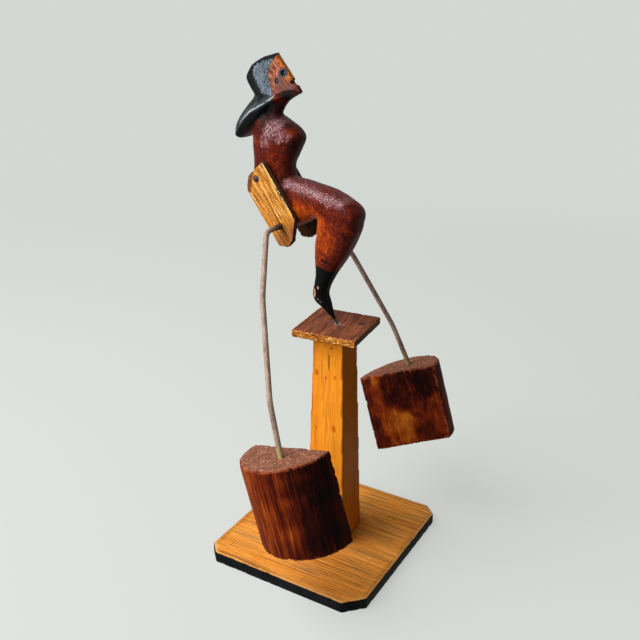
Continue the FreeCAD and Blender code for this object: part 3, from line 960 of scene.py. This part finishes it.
# The arm slats
slat = {
    "slope": 36.8,  # degrees from the upright
    "voxel": 0.24,
    "wave": (0.05, 5),
    "chip": (0.45, 1.1),
    "seed": 5.0,
    # a drying crack at the wire's hole: its place along and across, its reach and depth
    "crackAt": (21.2, 0.7),
    "crackReach": 6.8,
    "crackDepth": 0.4,
    "endWear": 0.5,  # how much shorter its worn lower end is
    "tones": tones((0.34, 146, 80, 34), (0.44, 186, 116, 42), (0.54, 208, 146, 58), (0.66, 228, 182, 108)),
    "redStreak": srgb(186, 104, 66),
    "darkGrain": srgb(108, 52, 22),
    "paleGrain": srgb(240, 206, 138),
    "lowEnd": srgb(118, 58, 34),
    # painted shade at the slat's upper corner
    "shoulder": srgb(86, 42, 26),
    # a painted highlight along the slat's near edge
    "litEdge": srgb(244, 216, 168),
    "nailRing": srgb(48, 26, 18),
    "rim": srgb(48, 24, 14),
    # painted shade on the face that turns on the hip
    "hipFace": srgb(40, 21, 12),
    "crack": srgb(26, 13, 9),
}


def slatAxes(side):
    down = inDegrees(-upward, ahead, slat["slope"])
    return axesAt(joints[side + "_arm_swing"]["pos_m"], down, leftward)


def makeSlat(side):
    cut = cutFrom(side + "_arm_slat", slatAxes(side))
    inward = (0, 0, -sides[side])
    hipFace = (pointsOf(cut) @ inward).max()
    mesh = fine(cut, slat["voxel"], 2)
    points = worked(mesh, slat, sides[side])
    holeAlong, holeAcross = slat["crackAt"]
    reach = slat["crackReach"]
    off = abs(points[:, 1] - holeAcross + 0.25 * clouds(points, 3.0, 31.0))
    crack = step(-off, -0.42, -0.1) * step(-abs(points[:, 0] - holeAlong), -reach, -reach / 2)
    lower = step(points[:, 0], 24.5, 29.0) * step(clouds(points, 1.0, 12.0, (3, 1, 1)), -0.05, 0.35)
    points = pointsOf(mesh) - normalsOf(mesh) * (slat["crackDepth"] * crack)[:, None]
    points[:, 0] -= slat["endWear"] * lower * step(points[:, 0], 26.5, 29.5)
    # nothing stands out of the face that turns on the hip
    points -= np.outer((points @ inward - hipFace).clip(0), inward)
    setPoints(mesh, points)
    paint(mesh, crack=crack, nailRing=np.hypot(points[:, 0], points[:, 1]))
    flat = smoothed(mesh, normalsOf(mesh)[:, 2], 2)
    # the edge faces, and the face towards the hip for its painted shade
    paint(mesh, rim=1 - step(abs(flat), 0.55, 0.95), inner=step(-sides[side] * flat, 0.2, 0.7))
    return mesh


def slatFinish():
    f = Finish("goldenSlat", specularIorLevel=0.06)
    broad = f.cloud(1.5, (16, 1, 1), 3, 0.5, 0.25)
    lines = f.cloud(0.55, (22, 1, 1), 4, 0.65, 0.3, 14.0)
    speck = f.cloud(0.4, (4, 1, 1), 2, 0.6, 0.0, 3.0)
    along = f.along("X")
    across = f.along("Y")
    grain = f.between(lines, 0.5, 0.6)
    low = f.between(along + broad.sway(12), 19, 26)
    lit = f.between(across + speck.sway(0.9) + broad.sway(1.2), -6.2, -6.6)
    colour = f.coats(
        f.ramp(broad * 0.7 + speck * 0.3, slat["tones"]),
        (slat["redStreak"], broad + lines.sway(0.7), 0.55, 0.68, 0.5),
        (slat["darkGrain"], grain * 0.85),
        (slat["paleGrain"], lines, 0.43, 0.36, 0.7),
        (slat["lowEnd"], low * 0.62),
        # painted shade at the upper corner
        (slat["shoulder"], across - along * 1.1 + broad.sway(2), 2.2, 3.2, 0.85),
        # painted highlight along the near edge, in its upper part
        (slat["litEdge"], lit * f.between(along, 24, 14) * 0.75),
        (slat["nailRing"], f.painted("nailRing") + speck.sway(0.3), 1.65, 1.35),
        (slat["rim"], f.painted("rim") + speck.sway(0.5), 0.5, 0.85, 0.94),
        # painted shade on the face towards the hip
        (slat["hipFace"], f.painted("inner") * 0.9),
        (slat["crack"], f.painted("crack")),
    )
    relief = (1 - grain) * 0.7 + speck * 0.3
    f.lay(baseColor=colour, roughness=0.42 + speck * 0.2, normal=f.bump(relief, 0.16))
    return f


goldenSlat = slatFinish()
for side in sides:
    setOut(
        side + "_slat", makeSlat(side), slatAxes(side), goldenSlat,
        side + "_arm", "slat_wood", side + "_arm_slat",
    )


# The half-round weights
weight = {
    "lean": 17.0,  # degrees forward at the foot
    "turn": 4.0,
    "voxel": 0.45,
    "wave": (0.22, 9),
    "chip": (0.7, 1.6),
    "seed": 40.0,
    # the knife's strokes: depth, width, how many times longer than wide, and shift of the seed
    "strokes": [(0.14, 1.5, 9, 3), (0.2, 4.2, 4, 5)],
    "sideTones": tones(
        (0, 13, 8, 9), (0.2, 38, 12, 9), (0.4, 72, 22, 12), (0.62, 116, 44, 13), (0.8, 148, 76, 18),
        (1, 172, 100, 30),
    ),
    # pale specks on the sawn ends: torn fibre, and painted glints
    "splinterGlint": srgb(206, 172, 152),
    "wornEdge": srgb(150, 76, 46),
    # material, the tone of its sawn ends, and how much its stain runs in streaks
    "right": ("darkLogNear", srgb(164, 104, 80), 1.0),
    "left": ("darkLogFar", srgb(158, 96, 70), 0.45),
    # tone of the stain, black at 0 and orange at 1: down the log, across it towards the front, tone
    "rightTones": [
        (-15, 15.5, 0.12), (-9, 14.5, 0), (-3, 16, 0), (4, 16.5, 0.16), (12, 15.5, 0.08),
        (-14, 11.5, 0.3), (-8.5, 10.5, 0.3), (-3, 12, 0.38), (-13, 8, 0.5), (-4, 8, 0.56),
        (8, 7, 0.56), (15, 4, 0.46), (-12, 0, 0.54), (0, 0, 0.62), (10, -2, 0.58), (-12, -8, 0.6),
        (0, -9, 0.56), (12, -9, 0.5), (-8, -15, 0.66), (4, -15, 0.6), (14, -15, 0.48),
    ],
    "leftTones": [
        (-15, -17, 0.34), (-4, -17.5, 0.26), (8, -16.5, 0.24), (16, -15, 0.28), (-14, -12, 0.66),
        (-4, -12.5, 0.64), (9, -11, 0.66), (16, -8, 0.62), (-14, -6, 0.26), (-9, -2, 0.2),
        (-5, -6, 0.28), (-2, 0, 0.24), (-11, 3, 0.3), (3, -5, 0.84), (9, -3, 0.94), (4, 1, 0.9),
        (14, -2, 0.86), (-13, 12, 0), (-8, 13, 0.06), (-2, 10, 0.38), (4, 8, 0.44), (2, 13, 0.5),
        (10, 8, 0.28), (15, 12, 0.26), (6, 17, 0.5), (-4, 17, 0.54),
    ],
}


def weightAxes(side):
    down = inDegrees(-upward, ahead, weight["lean"])
    inward = inDegrees(-sides[side] * leftward, ahead, weight["turn"])
    return axesAt(middleOf(side + "_weight"), down, inward)


def makeWeight(side):
    mesh = fine(cutFrom(side + "_weight", weightAxes(side)), weight["voxel"], 2)
    shift = 6 * sides[side]
    points = worked(mesh, weight, shift)
    normals = normalsOf(mesh)
    # whittled strokes run down the round side, a little deeper than on the sawn faces
    seed = weight["seed"] + shift
    strokes = np.zeros(len(points))
    for depth, width, length, more in weight["strokes"]:
        strokes += clouds(points, width, seed + more, (length, 1, 1)) * depth
    ends = abs(normals[:, 0])
    whittled = step(-normals[:, 2], -0.2, 0.3) * (1 - step(ends, 0.4, 0.8))
    push = strokes * (0.25 + 0.75 * whittled) * (ends < 0.6)
    setPoints(mesh, pointsOf(mesh) + normals * push[:, None])
    seat = pointsOf(mesh)[:, [0, 2, 1]] * (1, 1, sides[side])
    tone = spread(seat, weight[side + "Tones"])
    paint(mesh, endFace=step(smoothed(mesh, ends, 2), 0.5, 0.9), tone=tone)
    return mesh


def weightFinish(side):
    name, endTone, streaks = weight[side]
    f = Finish(name, specularIorLevel=0.02)
    fibre = f.cloud(0.5, (34, 1, 1), 5, 0.68, 0.2)
    bands = f.cloud(1.5, (22, 1, 1), 3, 0.6, 0.3, 7.0)
    blotch = f.cloud(3.0, (1.6, 1, 1), 4, 0.65, 0.4, 17.0)
    speck = f.cloud(0.5, detail=3, rough=0.65, shift=2.0)
    rough = f.cloud(0.42, (1, 3, 2), 4, 0.75, 0.5, 51.0)
    tone = f.painted("tone") + fibre.sway(0.9) + bands.sway() * streaks + blotch.sway(1.35 - streaks)
    end = f.coats(
        shade(endTone, 0.4),
        (endTone, speck * 0.6 + blotch * 0.4, 0.46, 0.62),
        (shade(endTone, 0.3), rough, 0.5, 0.42, 0.5),
        # pale specks: torn fibre, and painted glints
        (weight["splinterGlint"], rough + speck.sway(0.6), 0.56, 0.66, 0.6),
    )
    edge = f.painted("edge") * 0.9 + blotch.sway(1.6) + speck.sway(0.7)
    colour = f.coats(
        f.ramp(tone, weight["sideTones"]),
        (end, f.painted("endFace")),
        (weight["wornEdge"], edge, 0.75, 1.05, 0.6),
    )
    relief = fibre * 0.6 + speck * 0.5
    f.lay(baseColor=colour, roughness=0.42 + blotch * 0.25, normal=f.bump(relief, 0.24))
    return f


for side in sides:
    setOut(
        side + "_log", makeWeight(side), weightAxes(side), weightFinish(side),
        side + "_arm", "weight_hardwood", side + "_weight",
    )


# The post
post = {
    "turn": 3.0,  # degrees on the base
    "voxel": 0.42,
    "wave": (0.07, 16),
    "chip": (0.14, 2),
    "seed": 61.0,
    "nailHole": (-1.8, 93.2, 0.4),  # across, up, radius
    "holeDepth": 0.8,
    "crack": (-0.7, 91.4, 79.4),  # across, top, foot
    "crackDepth": 0.3,
    "knots": [  # across, up, radius
        (5, 81.2, 1.1), (0.7, 79.4, 1), (-3.6, 80.4, 1.1), (-3.4, 56.6, 1.1), (4.9, 55.2, 0.9),
        (0.4, 30, 0.8),
    ],
    "knotDepth": 0.04,
    "tones": tones((0.3, 188, 98, 20), (0.44, 226, 134, 32), (0.56, 240, 156, 44), (0.72, 250, 182, 78)),
    "grain": srgb(170, 78, 12),
    "stain": srgb(170, 84, 22),
    "knot": srgb(172, 70, 4),
    # a darker, redder right face: painted shade
    "shadedFace": srgb(150, 58, 0),
    "hole": srgb(30, 14, 8),
    "wornEdge": srgb(126, 64, 22),
}


def postAxes():
    low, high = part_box("post")
    foot = (low + high) / 2
    foot.z = low.z
    front = inDegrees(Vector((0, -1, 0)), Vector((1, 0, 0)), post["turn"])
    return axesAt(foot, upward, front)


def makePost():
    mesh = fine(cutFrom("post", postAxes()), post["voxel"], 1)
    points = worked(mesh, post)
    height, across = points[:, 0], points[:, 1]
    facing = step(normalsOf(mesh)[:, 2], 0.6, 0.9)
    holeY, holeX, holeR = post["nailHole"]
    hole = step(-np.hypot(height - holeX, across - holeY), -holeR - 0.25, -holeR + 0.25) * facing
    crackY, top, bottom = post["crack"]
    wander = crackY + 0.5 * clouds(points, 14.0, 77.0, (1, 50, 50))
    # it runs out over 2 mm at its top and 7 mm at its foot
    length = step(height, bottom, bottom + 7) * step(-height, -top, -top + 2)
    crack = step(-abs(across - wander), -0.42, -0.08) * length * facing
    knots = np.zeros(len(points))
    for knotY, knotX, reach in post["knots"]:  # each is longer up the post than it is wide
        away = ((height - knotX) / 1.5) ** 2 + (across - knotY) ** 2
        knots += np.exp(-away / reach ** 2)
    knots = np.clip(knots * facing, 0, 1)
    sunk = post["holeDepth"] * hole + post["crackDepth"] * crack + post["knotDepth"] * knots
    setPoints(mesh, pointsOf(mesh) - normalsOf(mesh) * sunk[:, None])
    # the right face, for painted shade
    redder = step(-normalsOf(mesh)[:, 1], 0.5, 0.9)
    paint(mesh, hole=np.clip(hole + crack, 0, 1), knot=knots, redder=redder)
    return mesh


def postFinish():
    f = Finish("amberPine", specularIorLevel=0.03)
    fibre = f.cloud(0.5, (40, 1, 1), 5, 0.65, 0.2)
    broad = f.cloud(2.2, (18, 1, 1), 3, 0.5, 0.5, 5.0)
    stain = f.cloud(9.0, (2, 1, 1), 3, 0.6, 0.0, 11.0)
    colour = f.coats(
        f.ramp(fibre * 0.5 + broad * 0.5, post["tones"]),
        (post["grain"], broad * 0.7 + fibre * 0.9, 0.84, 0.96, 0.6),
        (post["stain"], stain, 0.5, 0.75, 0.3),
        (post["knot"], f.painted("knot") + stain.sway(1.5) + fibre.sway(), 0.25, 0.8, 0.75),
        # painted shade on the right face
        (post["shadedFace"], f.painted("redder") * 0.42),
        (post["hole"], f.painted("hole"), 0.25, 0.7),
        (post["wornEdge"], f.painted("edge") + stain.sway(), 0.5, 1.1, 0.5),
    )
    f.lay(baseColor=colour, roughness=0.36 + fibre * 0.18, normal=f.bump(fibre, 0.12, 0.9))
    return f


setOut("pine_post", makePost(), postAxes(), postFinish(), "stand", "post_pine", "post")


# The cap plate
cap = {
    "turn": 5.6,  # degrees from the base
    "voxel": 0.28,
    "wave": (0.07, 6),
    "chip": (0.55, 1.3),
    "seed": 83.0,
    "splinterDepth": 0.35,
    "plugs": [(9.6, 3.6), (3.6, -2.9)],  # filled holes beside the toe
    "tones": tones((0.34, 46, 21, 14), (0.44, 90, 46, 30), (0.54, 128, 70, 45), (0.68, 170, 110, 78)),
    "bareTones": tones(
        (0.38, 48, 22, 10), (0.46, 136, 72, 24), (0.54, 204, 130, 50), (0.64, 250, 210, 136),
    ),
    # painted shade on the right-facing side
    "rim": srgb(46, 24, 14),
    "plug": srgb(40, 24, 19),
    "chipped": srgb(206, 140, 70),
    "wornEdge": srgb(176, 112, 60),
}


def capAxes():
    along = inDegrees(Vector((1, 0, 0)), Vector((0, 1, 0)), cap["turn"])
    return axesAt(middleOf("cap_plate"), along)


def makeCap():
    mesh = fine(cutFrom("cap_plate", capAxes()), cap["voxel"], 1)
    points = worked(mesh, cap)
    normals = normalsOf(mesh)
    # the edge on the near left broke out in splinters
    torn = step(-normals[:, 1], 0.5, 0.9)
    splinters = clouds(points, 1.2, 90.0, (3.5, 1, 1)) * cap["splinterDepth"] * torn
    setPoints(mesh, pointsOf(mesh) + normals * np.minimum(splinters, 0.02)[:, None])
    # the right-facing side is marked for painted shade
    paint(mesh, torn=smoothed(mesh, torn, 1), rim=step(smoothed(mesh, normals[:, 0], 1), 0.5, 0.9))
    nearest = np.min([np.hypot(*(points[:, :2] - spot).T) for spot in cap["plugs"]], axis=0)
    paint(mesh, plug=np.where(normals[:, 2] > 0.7, nearest, farOff))
    return mesh


def capFinish():
    f = Finish("capWood", specularIorLevel=0.05)
    fibre = f.cloud(0.3, (1, 20, 1), 4, 0.66, 0.2)
    broad = f.cloud(2.0, (1, 8, 1), 3, 0.5, 0.4, 5.0)
    speck = f.cloud(0.5, detail=2, rough=0.6, shift=8.0)
    chunks = f.cloud(0.6, (3.2, 1, 0.9), 4, 0.68, 0.5, 2.0)
    bare = f.ramp(chunks * 0.8 + speck * 0.2, cap["bareTones"])
    colour = f.coats(
        f.ramp(fibre * 0.6 + broad * 0.4, cap["tones"]),
        (bare, f.painted("torn") + speck.sway(0.5), 0.3, 0.7),
        # painted shade on the right-facing side
        (cap["rim"], f.painted("rim") * 0.7),
        (cap["plug"], f.painted("plug") + speck.sway(0.5), 1.7, 1.35, 0.8),
        (cap["chipped"], f.painted("chip"), 0.3, 0.8, 0.8),
        (cap["wornEdge"], f.painted("edge") + speck.sway(), 0.7, 1.2, 0.5),
    )
    relief = fibre + speck * 0.3
    f.lay(baseColor=colour, roughness=0.42 + fibre * 0.2, normal=f.bump(relief, 0.14))
    return f


setOut("cap_board", makeCap(), capAxes(), capFinish(), "stand", "cap_hardwood", "cap_plate")


# The base plate
base = {
    "voxel": 0.6,
    "wave": (0.06, 14),
    "chip": (0.16, 2),
    "seed": 101.0,
    "tones": tones((0.34, 160, 90, 28), (0.43, 216, 134, 48), (0.52, 242, 168, 76), (0.64, 252, 206, 132)),
    "fibre": srgb(132, 68, 18),
    "lines": srgb(118, 60, 18),
    "cross": srgb(110, 62, 22),
    "rim": srgb(96, 52, 20),
    "wornEdge": srgb(214, 160, 92),
    "skirtTones": [srgb(12, 13, 15), srgb(34, 37, 40)],  # black paint on its four sides
}


def makeBase():
    axes = axesAt(middleOf("base_plate"), (1, 0, 0))
    mesh = fine(cutFrom("base_plate", axes), base["voxel"], 1)
    worked(mesh, base)
    low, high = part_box("base_plate")
    half = (high - low) / 2 / mm
    points = pointsOf(mesh)
    inset = np.minimum(half.x - abs(points[:, 0]), half.y - abs(points[:, 1]))
    upright = 1 - step(smoothed(mesh, normalsOf(mesh)[:, 2], 1), 0.45, 0.85)
    paint(mesh, side=upright, inset=inset)
    return mesh, axes


def baseFinish():
    f = Finish("basePly", specularIorLevel=0.04)
    fibre = f.cloud(0.42, (60, 1, 1), 4, 0.65, 0.1)
    broad = f.cloud(1.6, (16, 1, 1), 3, 0.5, 0.5, 5.0)
    lines = f.cloud(0.55, (80, 1, 1), 3, 0.7, 0.1, 33.0)
    cross = f.cloud(0.4, (1, 34, 1), 3, 0.65, 0.15, 9.0)
    stain = f.cloud(14.0, detail=4, rough=0.6, shift=13.0)
    speck = f.cloud(0.6, detail=3, rough=0.65, shift=8.0)
    inset = f.painted("inset") + stain.sway(5) + speck.sway(1.5)
    worn = f.painted("edge") + stain.sway(0.9) + speck.sway(0.9)
    black, grey = base["skirtTones"]
    skirt = f.coats(black, (grey, stain + speck.sway(), 0.4, 0.9))
    colour = f.coats(
        f.ramp(fibre * 0.5 + broad * 0.3 + stain * 0.2, base["tones"]),
        (base["fibre"], fibre + broad.sway(0.4), 0.5, 0.58, 0.6),
        (base["lines"], lines + stain.sway(0.3), 0.5, 0.58, 0.65),
        (base["cross"], cross + speck.sway(0.3), 0.62, 0.7, 0.4),
        (base["rim"], inset, 3.0, 0.6, 0.45),
        (base["wornEdge"], worn, 0.75, 1.05, 0.6),
        (skirt, f.painted("side") + speck.sway(0.3), 0.35, 0.6),
    )
    relief = fibre + cross * 0.4
    f.lay(baseColor=colour, roughness=0.45 + speck * 0.2, normal=f.bump(relief, 0.1, 0.9))
    return f


basePlate, baseAxes = makeBase()
setOut("base_board", basePlate, baseAxes, baseFinish(), "stand", "base_ply", "base_plate")


# The bent wires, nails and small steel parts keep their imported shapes
wire = {
    "stub": (15.5, 11.5),  # how far out from the toe the wire turns dark, and is all dark
    "foot": (1, -3),  # the same for its tarnish, up from the top of the weight
    "tones": tones((0.32, 92, 70, 60), (0.46, 140, 118, 106), (0.58, 168, 144, 130), (0.7, 190, 170, 156)),
    "stubTone": srgb(50, 36, 31),
    "footTone": srgb(150, 140, 70),
}


def wireFinish(side):
    f = Finish(side + "WireSteel", packed=True, metallic=0.15, specularIorLevel=0.2)
    speck = f.cloud(0.8, detail=4, rough=0.65)
    long = f.cloud(3.0, (1, 1, 6), 3, 0.6, 0.0, 5.0)
    toe = tuple(Vector(joints["side_rock"]["pos_m"]) / mm)
    outward = tuple(leftward * sides[side])
    out = f.add("VectorMath", {"operation": "DOT_PRODUCT"}, {0: f.place() - toe, 1: outward}, "Value")
    height = f.along("Z")
    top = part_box(side + "_weight")[1].z / mm
    start, end = (top + above for above in wire["foot"])
    colour = f.coats(
        f.ramp(speck * 0.5 + long * 0.5, wire["tones"]),
        (wire["stubTone"], out + speck.sway(3), *wire["stub"], 0.92),
        (wire["footTone"], height + speck.sway(3), start, end, 0.7),
    )
    f.lay(baseColor=colour, roughness=0.45 + speck * 0.25, normal=f.bump(speck, 0.06, 0.8))
    return f


# each finish: how metallic it is, its dark, middle and light tones, and the nodes that have it
steel = {
    "darkNail": (
        0.6, tones((0.36, 24, 16, 18), (0.5, 56, 42, 44), (0.66, 112, 94, 94)),
        ("right_arm_nail", "left_arm_nail", "base_screw"),
    ),
    "brownNail": (
        0.2, tones((0.36, 38, 22, 18), (0.5, 78, 50, 38), (0.66, 120, 88, 70)),
        ("cap_brads",),
    ),
    "blackPin": (
        0.3, tones((0.36, 8, 7, 8), (0.5, 16, 15, 16), (0.66, 40, 38, 38)),
        ("pivot_ball", "toe_pin"),
    ),
    "brightSteel": (
        0.8, tones((0.36, 84, 82, 80), (0.5, 168, 166, 162), (0.64, 226, 226, 222)),
        ("seat_cup",),
    ),
}


def steelFinish(name):
    metallic, stops, _ = steel[name]
    f = Finish(name, packed=True, metallic=metallic)
    speck = f.cloud(0.35, detail=4, rough=0.7)
    colour = f.ramp(speck, stops)
    f.lay(baseColor=colour, roughness=0.38 + speck * 0.3, normal=f.bump(speck, 0.08, 0.9))
    return f


def cover(finish, *names):
    for name in names:
        nodes[name].data.materials.clear()
        nodes[name].data.materials.append(finish.material)


for side in sides:
    cover(wireFinish(side), side + "_wire")
for name in steel:
    cover(steelFinish(name), *steel[name][2])
print("wires and steel parts finished")
